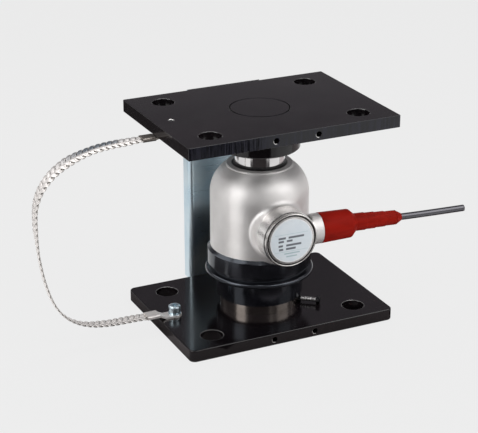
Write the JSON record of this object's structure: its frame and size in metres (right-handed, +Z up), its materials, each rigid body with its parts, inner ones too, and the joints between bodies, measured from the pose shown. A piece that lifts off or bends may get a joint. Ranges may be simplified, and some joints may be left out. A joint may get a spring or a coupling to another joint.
{
  "type": "truck scale load cell module",
  "caption": "Canister load cell standing in cups between a bolted base plate and top plate, with a rubber boot, ground strap, assembly strip and signal cable.",
  "frame": {"origin": "middle of the base plate's underside, on the axis of the cell and of the base bolt pattern", "axes": "+Z up along the cell, +X along the plates' long side towards the signal cable, -Y the front, where the terminal cover faces"},
  "size_m": [0.3503, 0.142, 0.176],
  "materials": {
    "black_gloss_paint": "gloss black paint",
    "satin_stainless": "blasted satin stainless steel",
    "polished_steel": "ground and polished stainless steel",
    "turned_steel": "turned steel",
    "black_rubber": "moulded black rubber with a dull shine",
    "red_sleeve": "moulded red elastomer",
    "zinc_plate": "bright zinc plate with a blue passivate",
    "blackened_steel": "blackened and oiled steel",
    "tinned_copper": "tinned copper braid and lugs",
    "grey_sheath": "dark grey cable sheath",
    "label_foil": "pale printed foil",
    "board_laminate": "green circuit board",
    "component_body": "coated resistor body",
    "gold_pin": "plated terminal pin",
    "gauge_foil": "amber gauge backing",
    "nickelled_brass": "nickel plated brass"
  },
  "bodies": {
    "root": {"base_plate": "black_gloss_paint", "top_plate": "black_gloss_paint", "upper_load_cup": "black_gloss_paint", "lower_load_cup": "turned_steel", "measuring_column": "polished_steel", "top_diaphragm": "polished_steel", "housing": "satin_stainless", "terminal_cover": "satin_stainless", "closing_ring": "satin_stainless", "rubber_boot": "black_rubber", "cover_gasket": "black_rubber", "gland_grommet": "black_rubber", "strain_relief_sleeve": "red_sleeve", "signal_cable": "grey_sheath", "rating_label": "label_foil", "terminal_board": "board_laminate", "trim_resistors": "component_body", "terminal_pins": "gold_pin", "strain_gauges": "gauge_foil", "gland_body": "nickelled_brass", "gland_nut": "nickelled_brass", "anti_rotation_screw": "blackened_steel", "anti_rotation_nut": "blackened_steel", "assembly_strip": "zinc_plate", "strip_screws": "zinc_plate", "ground_screws": "zinc_plate", "ground_spring_washers": "zinc_plate", "ground_flat_washers": "zinc_plate", "ground_strap": "tinned_copper", "strap_lug_upper": "tinned_copper", "strap_lug_lower": "tinned_copper"}
  },
  "joints": []
}
